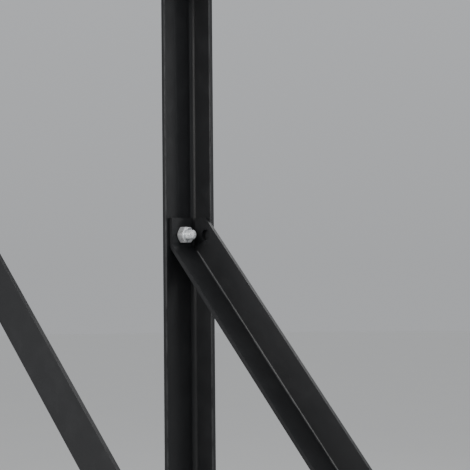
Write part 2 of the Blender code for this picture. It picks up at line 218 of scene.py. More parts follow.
class FastenerSettings(bpy.types.PropertyGroup):
    """Sizes of the bolts and nuts."""
    diameter: length("Thread Diameter", "Outside diameter of the thread", 0.010)
    pitch: length("Pitch", "Thread pitch", 0.0015)
    thread_depth: length("Thread Depth", "Depth of the thread", 0.00085)
    threaded: length("Threaded Length", "Modelled thread from the bolt's tip", 0.012)
    head: length("Head Height", "Height of the bolt's head", 0.0064)
    washer_face: length("Washer Face", "Height of the raised ring under the hexagon", 0.0003)
    relief: length("Neck Relief", "Plain neck's surface below the thread's crest", 0.0002)
    tip: length("Tip", "Thread's end below the thread's root", 0.0001)
    bore_gap: length("Bore Gap", "Nut's bore clear of the thread", 0.0001)
    mouth: length("Mouth", "Depth of the chamfer at a nut's bore", 0.0006)
    edge: length("Eased Edge", "Width of the eased edge on bolts and nuts", 0.00022)


class WeldSettings(bpy.types.PropertyGroup):
    """Sizes of the weld beads on the end frames."""
    width: length("Bead Width", "Width of a weld bead", 0.0055)
    rise: length("Bead Rise", "Height of a weld bead", 0.0011)
    ripple: length("Ripple Spacing", "Distance from ripple to ripple", 0.0016)


class PaintSettings(bpy.types.PropertyGroup):
    """Colours and gloss of the black paint and the zinc."""
    black: colour("Paint", "Black paint", (0.0122, 0.0126, 0.0138))
    faded: colour("Faded Paint", "Dusty, rubbed paint", (0.0205, 0.0210, 0.0224))
    worn: colour("Worn Edge", "Paint rubbed thin on edges", (0.045, 0.046, 0.048))
    zinc: colour("Zinc", "Bright zinc", (0.95, 0.96, 0.97))
    dull_zinc: colour("Dull Zinc", "Duller zinc", (0.74, 0.76, 0.79))
    shine: factor("Paint Shine", "Strength of the paint's reflections", 0.34)
    gloss: factor("Paint Roughness", "Roughness of clean paint", 0.36)
    zinc_gloss: factor("Zinc Roughness", "Roughness of bright zinc", 0.22)


class StageSettings(bpy.types.PropertyGroup):
    """The camera, floor and studio light."""
    floor: colour("Floor", "Pale floor", (0.72, 0.72, 0.71))
    distance: length("Camera Distance", "Camera from the joint", 1.471)
    azimuth: angle("Azimuth", "Camera's bearing round the joint", 43.42)
    elevation: angle("Elevation", "Camera's height over the joint", -1.19)
    roll: angle("Roll", "Camera's lean", -0.5)
    aim: length("Aim", "Middle of the view, right of the post's heel", 0.0437)
    lens: amount("Lens", "Focal length in mm", 108.2)
    key: amount("Key", "Key light power", 42.0)
    fill: amount("Fill", "Fill light power", 12.0)
    rim: amount("Rim", "Back light power", 16.0)
    glint: amount("Glint", "Small light for the nuts' ends", 3.0)
    sky: factor("Overhead", "Brightness of the surround overhead", 0.62)
    horizon: factor("Horizon", "Brightness of the surround at the horizon", 0.46)


class TrussSettings(bpy.types.PropertyGroup):
    """All of the truss section's settings."""
    steel: settings_of(SteelSettings, "Steel", "Angle sizes")
    fastener: settings_of(FastenerSettings, "Fasteners", "Bolt and nut sizes")
    weld: settings_of(WeldSettings, "Welds", "Weld bead sizes")
    paint: settings_of(PaintSettings, "Finish", "Paint and zinc")
    stage: settings_of(StageSettings, "Stage", "Camera and light")


def settings():
    return bpy.context.scene.truss_section


# ---------------------------------------------------------------- materials

class Value:
    """A socket of a material's tree, with arithmetic that adds Math nodes."""

    def __init__(self, tree, socket):
        self.tree = tree
        self.socket = socket

    def _math(self, operation, first, second):
        return self.tree.node("ShaderNodeMath", {"operation": operation}, {0: first, 1: second})

    def __add__(self, other):
        return self._math("ADD", self, other)

    def __radd__(self, other):
        return self._math("ADD", other, self)

    def __sub__(self, other):
        return self._math("SUBTRACT", self, other)

    def __mul__(self, other):
        return self._math("MULTIPLY", self, other)

    def above(self, start, end):
        """0 at start and below, 1 at end and above, smooth between."""
        return self.tree.node(
            "ShaderNodeMapRange", {"interpolation_type": "SMOOTHSTEP"},
            {"Value": self, "From Min": start, "From Max": end})


class Tree:
    """A material's node tree."""

    def __init__(self, name):
        self.material = bpy.data.materials.new(name)
        self.material.use_nodes = True
        self.nodes = self.material.node_tree.nodes
        self.links = self.material.node_tree.links
        self.shader = self.nodes["Principled BSDF"]
        self.place = self.node("ShaderNodeTexCoord", output="Object")

    def feed(self, socket, value):
        if isinstance(value, Value):
            self.links.new(value.socket, socket)
        else:
            socket.default_value = value

    def node(self, kind, options=None, inputs=None, output=0):
        """Add a node, set its options, feed its sockets and return one output."""
        made = self.nodes.new(kind)
        for option, value in (options or {}).items():
            setattr(made, option, value)
        for socket, value in (inputs or {}).items():
            self.feed(made.inputs[socket], value)
        return Value(self, made.outputs[output])

    def noise(self, scale, detail=2.0, roughness=0.5, distortion=0.0):
        return self.node("ShaderNodeTexNoise", None, {
            "Vector": self.place, "Scale": scale, "Detail": detail, "Roughness": roughness,
            "Distortion": distortion}, output="Fac")

    def mix(self, share, first, second):
        """A mix of two colours; a Mix node has them on sockets 6 and 7, and its output on 2."""
        def opaque(value):
            return value if isinstance(value, Value) else (*value, 1.0)

        return self.node("ShaderNodeMix", {"data_type": "RGBA"},
                         {0: share, 6: opaque(first), 7: opaque(second)}, output=2)

    def bump(self, height, strength, distance):
        return self.node("ShaderNodeBump", None, {
            "Height": height, "Strength": strength, "Distance": distance}, output="Normal")

    def finish(self, **sockets):
        for name, value in sockets.items():
            self.feed(self.shader.inputs[name.replace("_", " ")], value)
        return self.material


def black_paint():
    """Satin black over mill scale: faint cloudiness, fine grain, dust and rubbed edges."""
    made = bpy.data.materials.get("black_paint_finish")
    if made:
        return made
    paint = settings().paint
    tree = Tree("black_paint_finish")
    cloud = tree.noise(9.0, 4.0, 0.6)
    patch = tree.noise(38.0, 5.0, 0.65, 0.4)
    grain = tree.noise(620.0, 3.0, 0.6)
    peel = tree.noise(1500.0, 2.0)
    fleck = tree.noise(2100.0, 1.0).above(0.70, 0.76)
    rim = tree.node("ShaderNodeAttribute", {"attribute_name": "rim"}, output="Fac")
    rubbed = rim * patch.above(0.35, 0.62)
    dust = cloud.above(0.42, 0.70) * 0.45 + patch.above(0.50, 0.72) * 0.30 + fleck * 0.35
    base = tree.mix(dust, paint.black[:], paint.faded[:])
    base = tree.mix(rubbed, base, paint.worn[:])
    roughness = paint.gloss + patch.above(0.40, 0.75) * 0.12 + grain * 0.07 - rubbed * 0.05
    height = grain * 0.55 + peel * 0.30 + patch * 0.8
    return tree.finish(
        Base_Color=base, Roughness=roughness, Metallic=0.0, Specular_IOR_Level=paint.shine,
        Normal=tree.bump(height, 0.16, 0.0006))


def bright_zinc():
    """Bright zinc: slightly uneven, finely brushed, with duller clouds."""
    made = bpy.data.materials.get("bright_zinc_finish")
    if made:
        return made
    paint = settings().paint
    tree = Tree("bright_zinc_finish")
    cloud = tree.noise(160.0, 4.0, 0.6)
    fine = tree.noise(1800.0, 3.0, 0.6)
    dull = cloud.above(0.40, 0.68)
    base = tree.mix(dull * 0.8, paint.zinc[:], paint.dull_zinc[:])
    roughness = paint.zinc_gloss + dull * 0.14 + fine * 0.10
    return tree.finish(
        Base_Color=base, Roughness=roughness, Metallic=0.72,
        Normal=tree.bump(fine + cloud * 0.5, 0.10, 0.0003))


def weld_metal():
    """Weld bead under the same black paint, a little glossier."""
    made = bpy.data.materials.get("painted_weld_finish")
    if made:
        return made
    paint = settings().paint
    tree = Tree("painted_weld_finish")
    patch = tree.noise(90.0, 4.0, 0.6)
    fine = tree.noise(1300.0, 2.0)
    base = tree.mix(patch.above(0.45, 0.70) * 0.6, paint.black[:], paint.faded[:])
    return tree.finish(
        Base_Color=base, Roughness=paint.gloss * 0.9 + patch * 0.12, Metallic=0.0,
        Normal=tree.bump(fine, 0.12, 0.0004))


def pale_floor():
    tree = Tree("pale_floor")
    tone = settings().stage.floor
    darker = tuple(part * 0.97 for part in tone)
    base = tree.mix(tree.noise(2.5, 3.0), tone[:], darker)
    return tree.finish(Base_Color=base, Roughness=0.85)


# ---------------------------------------------------------------- mesh tools

def mesh_piece(name, mesh):
    piece = bpy.data.objects.new(name, mesh)
    bpy.context.scene.collection.objects.link(piece)
    return piece


def remove(thing):
    bpy.data.objects.remove(thing, do_unlink=True)


def piece_from(work, name):
    """Turn mesh work into a piece and free the work."""
    mesh = bpy.data.meshes.new(name)
    work.to_mesh(mesh)
    work.free()
    return mesh_piece(name, mesh)


def bake(piece):
    """Turn a piece's modifiers into plain mesh."""
    bpy.context.view_layer.update()
    evaluated = piece.evaluated_get(bpy.context.evaluated_depsgraph_get())
    mesh = bpy.data.meshes.new_from_object(evaluated)
    piece.modifiers.clear()
    piece.data = mesh


def rounded(corners, steps=6):
    """An outline with each corner (across, up, radius) rounded by its own radius."""
    points = []
    for index, (across, up, radius) in enumerate(corners):
        corner = Vector((across, up))
        before = Vector(corners[index - 1][:2]) - corner
        after = Vector(corners[(index + 1) % len(corners)][:2]) - corner
        if radius <= 0.0:
            points.append(tuple(corner))
            continue
        before.normalize()
        after.normalize()
        half = before.angle(after) / 2
        run = radius / tan(half)
        middle = corner + (before + after).normalized() * radius / sin(half)
        start = corner + before * run - middle
        end = corner + after * run - middle
        sweep = start.angle_signed(end)
        for step in range(steps + 1):
            turn = Matrix.Rotation(-sweep * step / steps, 2)
            points.append(tuple(middle + turn @ start))
    return points


def band(work, low, high):
    """Join two rings of points with faces."""
    for step in range(len(low)):
        work.faces.new((low[step - 1], low[step], high[step], high[step - 1]))


def tube(name, rings):
    """A closed solid through rings of points, capped at both ends."""
    work = bmesh.new()
    rings = [[work.verts.new(point) for point in ring] for ring in rings]
    work.faces.new(rings[0])
    work.faces.new(rings[-1])
    for low, high in zip(rings, rings[1:]):
        band(work, low, high)
    bmesh.ops.recalc_face_normals(work, faces=work.faces)
    return piece_from(work, name)


def prism(name, outline, axes, near, far):
    """A closed solid: an outline, from one depth to another, along the given axes."""
    return tube(name, [[axes @ Vector((*point, depth)) for point in outline]
                       for depth in (near, far)])


def saw(body, low, high):
    """Cut a box out of a piece."""
    work = bmesh.new()
    bmesh.ops.create_cube(work, size=1.0)
    low = Vector(low)
    high = Vector(high)
    place = Matrix.Translation((low + high) / 2) @ Matrix.Diagonal((*(high - low), 1.0))
    bmesh.ops.transform(work, matrix=place, verts=work.verts)
    combine(body, piece_from(work, "saw"), "DIFFERENCE")


def combine(body, tool, operation):
    change = body.modifiers.new(operation.lower(), "BOOLEAN")
    change.operation = operation
    change.solver = "EXACT"
    change.object = tool
    bake(body)
    remove(tool)


def drill(body, diameter, lines, sides=40):
    """Cut round holes along lines whose ends lie clear of the wall."""
    work = bmesh.new()
    for start, end in lines:
        start = Vector(start)
        end = Vector(end)
        turn = Vector((0, 0, 1)).rotation_difference(end - start).to_matrix().to_4x4()
        bmesh.ops.create_cone(
            work, cap_ends=True, segments=sides, radius1=diameter / 2, radius2=diameter / 2,
            depth=(end - start).length, matrix=Matrix.Translation((start + end) / 2) @ turn)
    combine(body, piece_from(work, "drill"), "DIFFERENCE")


def mark_rims(mesh, width):
    """Mark the narrow faces of eased edges, where paint rubs thin."""
    rim = mesh.attributes.new("rim", "FLOAT", "FACE")
    for face in mesh.polygons:
        corners = [mesh.vertices[index].co for index in face.vertices]
        around = sum((corners[i] - corners[i - 1]).length for i in range(len(corners)))
        rim.data[face.index].value = 1.0 if 2 * face.area / around < width else 0.0


def round_edges(piece, width, sharper_than):
    """Round the edges that are sharper than an angle."""
    bevel = piece.modifiers.new("eased_edges", "BEVEL")
    bevel.width = width
    bevel.segments = 2
    bevel.limit_method = "ANGLE"
    bevel.angle_limit = sharper_than
    bake(piece)


def ease_edges(piece, width):
    """Weld what the cuts left, round the sharp edges and mark their faces."""
    work = bmesh.new()
    work.from_mesh(piece.data)
    bmesh.ops.remove_doubles(work, verts=work.verts, dist=SAME_POINT)
    bmesh.ops.dissolve_limit(work, angle_limit=FLAT_ANGLE, verts=work.verts, edges=work.edges)
    bmesh.ops.recalc_face_normals(work, faces=work.faces)
    work.to_mesh(piece.data)
    work.free()
    round_edges(piece, width, STEEL_EASE_ANGLE)
    mark_rims(piece.data, width * RIM_SHARE)


def shade(piece):
    """Smooth the rounded faces, keep the flats flat and the hard corners sharp."""
    piece.data.shade_smooth()
    piece.data.set_sharp_from_angle(angle=SHARP_ANGLE)
    weigh = piece.modifiers.new("flat_flats", "WEIGHTED_NORMAL")
    weigh.weight = 100
    weigh.keep_sharp = True
    bake(piece)


def settle(piece, name, material, nodes, place=None):
    """Bake a piece's place into its mesh, finish it and tie it to the frame."""
    if place is not None:
        piece.data.transform(place)
    shade(piece)
    piece.name = name
    piece.data.name = name
    piece.data.materials.clear()
    piece.data.materials.append(material)
    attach(piece, ROOT)
    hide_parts(*nodes)


def solid_volume(mesh):
    work = bmesh.new()
    work.from_mesh(mesh)
    volume = work.calc_volume(signed=True)
    work.free()
    return volume


def settle_steel(piece, name, node, place=None):
    """Finish a painted steel piece that stands for one node, and test that it is all there."""
    share = solid_volume(piece.data) / solid_volume(bpy.data.objects[node].data)
    if abs(share - 1.0) > VOLUME_TOLERANCE:
        raise RuntimeError(f"{name} has {share:.2f} of the volume of {node}")
    settle(piece, name, black_paint(), [node], place)


def corner_place(side_x, side_y, turned):
    place = Matrix.Translation((side_x * HALF_WIDTH, side_y * HALF_DEPTH, 0.0))
    return place @ HALF_TURN if turned else place


def upside_down(axis):
    """The half turn about X or Y that swaps foot and head."""
    return Matrix.Translation((0.0, 0.0, HEIGHT)) @ Matrix.Rotation(pi, 4, axis)


# ---------------------------------------------------------------- steel

def angle_outline(across, along, thick, root, toe, heel):
    """Section of an angle: heel at the origin, one leg to +X, the other to -Y."""
    return rounded((
        (0.0, 0.0, heel),
        (0.0, -along, heel),
        (thick, -along, toe),
        (thick, -thick, root),
        (across, -thick, toe),
        (across, 0.0, heel),
    ))


def make_post(corner):
    side_x, side_y, turned, hand = CORNERS[corner]
    steel = settings().steel
    outline = angle_outline(
        POST_SHORT, POST_LONG, steel.post_thick, steel.post_root, steel.toe, steel.heel)
    outline = [(hand * across, along) for across, along in outline]
    post = prism("post", outline, LEVEL, 0.0, HEIGHT)
    out = CUT_MARGIN
    reach = steel.post_thick + out
    lines = []
    for height in (FOOT_BOLT_HEIGHT, HEIGHT - FOOT_BOLT_HEIGHT):
        lines.append(((-hand * out, -FRAME_GAUGE_LONG, height),
                      (hand * reach, -FRAME_GAUGE_LONG, height)))
        lines.append(((hand * FRAME_GAUGE_SHORT, out, height),
                      (hand * FRAME_GAUGE_SHORT, -reach, height)))
    for height in brace_bolt_heights(corner):
        lines.append(((-hand * out, -TAB_GAUGE, height), (hand * reach, -TAB_GAUGE, height)))
    drill(post, steel.hole, lines)
    ease_edges(post, steel.edge)
    settle_steel(post, "steel_post_" + corner, "post_" + corner,
                 corner_place(side_x, side_y, turned))


def root_fillet(thick, radius, steps=8):
    """Section of a brace's inside fillet, sunk a little into both legs."""
    sunk = thick - FILLET_SINK
    points = [(sunk, sunk), (thick + radius, sunk)]
    for step in range(steps + 1):
        turn = -pi / 2 - step * pi / 2 / steps
        points.append((thick + radius + radius * cos(turn), thick + radius + radius * sin(turn)))
    points.append((sunk, thick + radius))
    return points


def make_main_brace(name, node, in_front):
    """A long brace, drawn for the back from its top post's heel, and mirrored in front."""
    steel = settings().steel
    thick = steel.brace_thick
    face = SEAT + thick
    right = 2 * HALF_WIDTH
    top_bend = TOP_HOLE - steel.tab_to_bend
    low_bend = LOW_HOLE + steel.tab_to_bend
    across = right - 2 * SEAT
    drop = top_bend - low_bend
    slope = atan2(across, drop) - asin(thick / hypot(across, drop))
    steep = 1 / tan(slope)
    rise_of_wall = thick / sin(slope)
    rise_of_leg = BRACE_LEG / sin(slope)

    def heel(place):
        return top_bend - (place - SEAT) * steep

    tab_top = TOP_HOLE + steel.tab_past_hole
    tab_foot = LOW_HOLE - steel.tab_past_hole
    inner = steel.bend
    outer = steel.bend + thick
    standing = rounded((
        (SEAT, tab_top, 0.0),
        (SEAT, top_bend, outer),
        (right - face, heel(right - face), inner),
        (right - face, tab_foot, 0.0),
        (right - SEAT, tab_foot, 0.0),
        (right - SEAT, low_bend, outer),
        (face, heel(face) + rise_of_wall, inner),
        (face, tab_top, 0.0),
    ), steps=8)
    brace = prism(name, standing, WIDE_FACE, SEAT, SEAT + BRACE_LEG)
    down = Vector((sin(slope), 0.0, -cos(slope)))
    outward = Vector((cos(slope), 0.0, sin(slope)))
    inward = Vector((0.0, -1.0, 0.0))
    slit_end = face + steel.slit
    axes = Matrix((outward, inward, down)).transposed()
    heel_start = Vector((SEAT, -SEAT, top_bend))
    first = (slit_end - SEAT) / sin(slope)
    last = (right - slit_end - SEAT - outward.x * (thick + steel.brace_root)) / sin(slope)
    margin = CUT_MARGIN
    cuts = (
        ((-margin, heel(slit_end)), (slit_end, tab_top + margin)),
        ((right - slit_end, tab_foot - margin),
         (right + margin, heel(right - slit_end) + rise_of_wall)),
    )
    for low, high in cuts:
        saw(brace, (low[0], -slit_end, low[1]), (high[0], margin, high[1]))
    flat_top = SEAT + (top_bend + rise_of_leg - tab_top) / steep
    # The flat leg starts half a wall inside the standing leg, so that the two join cleanly
    in_wall = rise_of_wall / 2
    flat = (
        (slit_end, tab_top),
        (slit_end, heel(slit_end) + in_wall),
        (right - slit_end, heel(right - slit_end) + in_wall),
        (right - slit_end, heel(right - slit_end) + rise_of_leg),
        (flat_top, tab_top),
    )
    combine(brace, prism("flat", flat, WIDE_FACE, SEAT, face), "UNION")
    fillet = prism("fillet", root_fillet(thick, steel.brace_root), axes, first, last)
    fillet.data.transform(Matrix.Translation(heel_start))
    combine(brace, fillet, "UNION")
    lines = [
        ((-margin, -TAB_GAUGE, TOP_HOLE), (SEAT + face, -TAB_GAUGE, TOP_HOLE)),
        ((right - SEAT - face, -TAB_GAUGE, LOW_HOLE), (right + margin, -TAB_GAUGE, LOW_HOLE)),
    ]
    low_spare = heel(right - steel.spare_inset) + rise_of_leg / 2
    for place, height in ((steel.spare_inset, TOP_HOLE), (right - steel.spare_inset, low_spare)):
        lines.append(((place, 0.0, height), (place, -face - margin, height)))
    drill(brace, steel.hole, lines)
    ease_edges(brace, steel.edge)
    brace.data.transform(corner_place(-1, 1, False))
    if in_front:
        brace.data.transform(Matrix.Diagonal((1.0, -1.0, 1.0, 1.0)))
        brace.data.flip_normals()
    settle_steel(brace, name, node)


def make_side_brace(name, node, on_right):
    """A short brace, drawn for the left from its foot post's heel; turned over on the right."""
    steel = settings().steel
    thick = steel.brace_thick
    far = 2 * HALF_DEPTH - TAB_GAUGE
    slope = atan2(far - TAB_GAUGE, SIDE_HIGH_HOLE - SIDE_LOW_HOLE)
    steep = 1 / tan(slope)
    start = TAB_GAUGE - steel.side_past_hole
    end = far + steel.side_past_hole

    def edge(along, from_heel):
        middle = SIDE_LOW_HOLE + (along - TAB_GAUGE) * steep
        return middle + (from_heel - steel.side_gauge) / sin(slope)

    section = angle_outline(
        BRACE_LEG, BRACE_LEG, thick, steel.brace_root, steel.toe, steel.heel)
    up = Vector((0.0, -sin(slope), cos(slope)))
    outward = Vector((0.0, cos(slope), sin(slope)))
    axes = Matrix((outward, Vector((-1.0, 0.0, 0.0)), up)).transposed()
    heel_start = Vector((SEAT, -start, edge(start, 0.0)))
    run = (end - start) / sin(slope)
    spare = BRACE_LEG * steep
    brace = prism(name, section, axes, -spare, run + spare)
    brace.data.transform(Matrix.Translation(heel_start))
    deep = SEAT + BRACE_LEG + SAW_MARGIN
    for low, high in ((start - SAW_REACH, start), (end, end + SAW_REACH)):
        saw(brace, (-SAW_MARGIN, -high, SIDE_LOW_HOLE - SAW_REACH),
            (deep, -low, SIDE_HIGH_HOLE + SAW_REACH))
    lines = []
    for along, height in ((TAB_GAUGE, SIDE_LOW_HOLE), (far, SIDE_HIGH_HOLE)):
        lines.append(((0.0, -along, height), (SEAT + thick + CUT_MARGIN, -along, height)))
    drill(brace, steel.hole, lines)
    ease_edges(brace, steel.edge)
    brace.data.transform(corner_place(-1, 1, False))
    settle_steel(brace, name, node, upside_down("Y") if on_right else None)


def add_frame_bar(work, section, half_along, half_out, place):
    """Add one mitred side of an end frame, open at its mitres."""
    ends = []
    for side in (-1, 1):
        points = [Vector((side * (half_along - inward), half_out - inward, up))
                  for inward, up in section]
        ends.append([work.verts.new(place @ point) for point in points])
    band(work, *ends)


def make_end_frame(name, node, at_head):
    """A mitred and welded angle frame, drawn for the foot and turned over for the head."""
    steel = settings().steel
    thick = steel.brace_thick
    half_x = FRAME_HIGH.x
    half_y = FRAME_HIGH.y
    section = rounded((
        (0.0, 0.0, steel.heel),
        (FRAME_LEG, 0.0, steel.heel),
        (FRAME_LEG, thick, steel.toe),
        (thick, thick, steel.frame_root),
        (thick, FRAME_LEG, steel.toe),
        (0.0, FRAME_LEG, steel.heel),
    ))
    work = bmesh.new()
    for turn in range(4):
        halves = (half_y, half_x) if turn % 2 else (half_x, half_y)
        add_frame_bar(work, section, *halves, Matrix.Rotation(turn * pi / 2, 4, "Z"))
    bmesh.ops.remove_doubles(work, verts=work.verts, dist=SAME_POINT)
    bmesh.ops.recalc_face_normals(work, faces=work.faces)
    ring = piece_from(work, name)
    plan = rounded([(side_x * half_x, side_y * half_y, steel.corner)
                    for side_x, side_y in ((1, 1), (-1, 1), (-1, -1), (1, -1))], steps=8)
    plan = prism("plan", plan, LEVEL, -SAW_MARGIN, FRAME_LEG + SAW_MARGIN)
    combine(ring, plan, "INTERSECT")
    lines = []
    out = CUT_MARGIN
    for side_x in (-1, 1):
        for side_y in (-1, 1):
            bolt_y = side_y * (HALF_DEPTH - FRAME_GAUGE_LONG)
            bolt_x = side_x * (HALF_WIDTH - FRAME_GAUGE_SHORT)
            lines.append(((side_x * (half_x + out), bolt_y, FOOT_BOLT_HEIGHT),
                          (side_x * (half_x - thick - out), bolt_y, FOOT_BOLT_HEIGHT)))
            lines.append(((bolt_x, side_y * (half_y + out), FOOT_BOLT_HEIGHT),
                          (bolt_x, side_y * (half_y - thick - out), FOOT_BOLT_HEIGHT)))
    drill(ring, steel.hole, lines)
    joins = []
    for side in (-1, 1):
        for half in (-1, 1):
            joins.append((half * steel.join_spacing / 2, side * (half_y - steel.join_gauge)))
        joins.append((side * (half_x - steel.join_gauge), 0.0))
    drill(ring, steel.join_hole, [((x, y, -out), (x, y, thick + out)) for x, y in joins])
    ease_edges(ring, steel.edge)
    settle_steel(ring, name, node, upside_down("X") if at_head else None)


# ---------------------------------------------------------------- geometry nodes

class Nodes:
    """A Geometry Nodes tree with named inputs."""

    def __init__(self, name, inputs):
        self.group = bpy.data.node_groups.new(name, "GeometryNodeTree")
        face = self.group.interface
        face.new_socket("Geometry", in_out="INPUT", socket_type="NodeSocketGeometry")
        self.names = {}
        for label, kind in inputs.items():
            socket = face.new_socket(label, in_out="INPUT", socket_type=kind)
            self.names[label] = socket.identifier
        face.new_socket("Geometry", in_out="OUTPUT", socket_type="NodeSocketGeometry")
        self.start = self.group.nodes.new("NodeGroupInput")
        self.end = self.group.nodes.new("NodeGroupOutput")

    def given(self, label):
        return self.start.outputs[label]

    def node(self, kind, options=None, inputs=None):
        made = self.group.nodes.new(kind)
        for option, value in (options or {}).items():
            setattr(made, option, value)
        for socket, value in (inputs or {}).items():
            if isinstance(value, bpy.types.NodeSocket):
                self.group.links.new(value, made.inputs[socket])
            else:
                made.inputs[socket].default_value = value
        return made

    def finish(self, geometry):
        """Realize the instances, set the material and hand the geometry out."""
        real = self.node("GeometryNodeRealizeInstances", None, {"Geometry": geometry})
        painted = self.node("GeometryNodeSetMaterial", None, {
            "Geometry": real.outputs[0], "Material": self.given("Material")})
        self.group.links.new(painted.outputs[0], self.end.inputs[0])

    def run(self, piece, values):
        """Put the tree on a piece with its inputs, and keep the result as a plain mesh."""
        change = piece.modifiers.new(self.group.name, "NODES")
        change.node_group = self.group
        for label, value in values.items():
            change[self.names[label]] = value
        bake(piece)


def placing_tree(name):
    """A fastener on every point, turned by the point's own turn."""
    tree = Nodes(name, {
        "Fastener": "NodeSocketObject",
        "Material": "NodeSocketMaterial",
    })
    thing = tree.node("GeometryNodeObjectInfo", None, {"Object": tree.given("Fastener")})
    turn = tree.node("GeometryNodeInputNamedAttribute", {"data_type": "QUATERNION"},
                     {"Name": "turn"})
    placed = tree.node("GeometryNodeInstanceOnPoints", None, {
        "Points": tree.given("Geometry"), "Instance": thing.outputs["Geometry"],
        "Rotation": turn.outputs["Attribute"]})
    tree.finish(placed.outputs[0])
    return tree


def bead_tree():
    """A rippled weld bead along every line."""
    tree = Nodes("weld_bead", {
        "Width": "NodeSocketFloat",
        "Rise": "NodeSocketFloat",
        "Ripple": "NodeSocketFloat",
        "Material": "NodeSocketMaterial",
    })
    line = tree.node("GeometryNodeMeshToCurve", None, {"Mesh": tree.given("Geometry")})
    spaced = tree.node("GeometryNodeResampleCurve", {"mode": "LENGTH"}, {
        "Curve": line.outputs[0], "Length": tree.given("Ripple")})
    along = tree.node("GeometryNodeInputTangent")
    turn = tree.node("FunctionNodeAlignRotationToVector", {"axis": "X"},
                     {"Vector": along.outputs[0]})
    ripple = tree.node("GeometryNodeMeshIcoSphere", None, {"Radius": 1.0, "Subdivisions": 2})
    half = tree.node("ShaderNodeMath", {"operation": "MULTIPLY"}, {0: tree.given("Width"), 1: 0.5})
    size = tree.node("ShaderNodeCombineXYZ", None, {
        "X": tree.given("Ripple"), "Y": half.outputs[0], "Z": tree.given("Rise")})
    uneven = tree.node("FunctionNodeRandomValue", {"data_type": "FLOAT_VECTOR"}, {
        "Min": (0.95, 0.88, 0.85), "Max": (1.15, 1.08, 1.12), "Seed": 4})
    scaled = tree.node("ShaderNodeVectorMath", {"operation": "MULTIPLY"}, {
        0: size.outputs[0], 1: uneven.outputs["Value"]})
    placed = tree.node("GeometryNodeInstanceOnPoints", None, {
        "Points": spaced.outputs[0], "Instance": ripple.outputs["Mesh"],
        "Rotation": turn.outputs[0], "Scale": scaled.outputs[0]})
    tree.finish(placed.outputs[0])
    return tree


def make_welds(name, node, at_head):
    """Beads on the mitres of an end frame, on the inner side of its flat leg."""
    weld = settings().weld
    steel = settings().steel
    insets = (steel.brace_thick + steel.frame_root, FRAME_LEG - BEAD_STOP)
    work = bmesh.new()
    for side_x in (-1, 1):
        for side_y in (-1, 1):
            work.edges.new([work.verts.new((side_x * (FRAME_HIGH.x - inset),
                                            side_y * (FRAME_HIGH.y - inset), steel.brace_thick))
                            for inset in insets])
    beads = piece_from(work, name)
    bead_tree().run(beads, {
        "Width": weld.width, "Rise": weld.rise, "Ripple": weld.ripple,
        "Material": weld_metal()})
    settle(beads, name, weld_metal(), [node], upside_down("X") if at_head else None)


# ---------------------------------------------------------------- fasteners

def circle(radius, height, sides):
    """Points round Z, the first on +X."""
    return [(radius * cos(2 * pi * step / sides), radius * sin(2 * pi * step / sides), height)
            for step in range(sides)]


def turned_solid(name, profile, sides):
    """A solid of revolution about Z, from a profile of radii and heights."""
    return tube(name, [circle(radius, height, sides) for radius, height in profile])


def chamfered_hexagon(name, low, high, chamfer_low, chamfer_high):
    """A hexagon whose corners are turned down at 30 degrees at the ends asked for."""
    reach = CORNER_REACH * TURNING_REACH
    flat = ACROSS_FLATS / 2 * TURNED_FACE
    fall = (reach - flat) * tan(pi / 6)
    profile = [(flat, low), (reach, low + fall)] if chamfer_low else [(reach, low)]
    profile += [(reach, high - fall), (flat, high)] if chamfer_high else [(reach, high)]
    body = tube(name, [circle(CORNER_REACH, height, 6)
                       for height in (low - BLANK_MARGIN, high + BLANK_MARGIN)])
    combine(body, turned_solid("chamfer", profile, sides=64), "INTERSECT")
    return body


def thread(length_from, length_to, sides=24, rows=6):
    """A threaded end: a cylinder whose radius follows one helix, chamfered at the tip."""
    fastener = settings().fastener
    outer = fastener.diameter / 2
    root = outer - fastener.thread_depth
    count = round((length_to - length_from) / fastener.pitch * rows)
    rings = []
    for row in range(count + 1):
        height = length_from + (length_to - length_from) * row / count
        chamfer = root - fastener.tip + length_to - height
        ring = []
        for step in range(sides):
            phase = (height / fastener.pitch - step / sides) % 1.0
            crest = min(1.0, max(0.0, THREAD_FLANK * abs(2 * phase - 1) - THREAD_OFFSET))
            radius = min(root + fastener.thread_depth * crest, chamfer)
            turn = 2 * pi * step / sides
            ring.append((radius * cos(turn), radius * sin(turn), height))
        rings.append(ring)
    return tube("thread", rings)


def join_into(piece, other):
    """Add another piece's faces to a piece as a shell of its own."""
    work = bmesh.new()
    work.from_mesh(piece.data)
    work.from_mesh(other.data)
    work.to_mesh(piece.data)
    work.free()
    remove(other)


def bolt_template(length_under_head):
    """A set bolt on the Z axis: its head's bearing face at zero, its shank to +Z."""
    fastener = settings().fastener
    bolt = chamfered_hexagon("bolt", -fastener.head, -fastener.washer_face, True, False)
    ring = ACROSS_FLATS / 2 * WASHER_FACE
    neck = fastener.diameter / 2 - fastener.relief
    start = length_under_head - fastener.threaded
    stem = turned_solid("stem", (
        (ring * STEM_SHARE, -fastener.head / 2),
        (ring, -fastener.washer_face * 2),
        (ring, 0.0),
        (neck, 0.0),
        (neck, start + fastener.relief),
    ), sides=48)
    combine(bolt, stem, "UNION")
    round_edges(bolt, fastener.edge, FASTENER_EASE_ANGLE)
    join_into(bolt, thread(start, length_under_head))
    return bolt


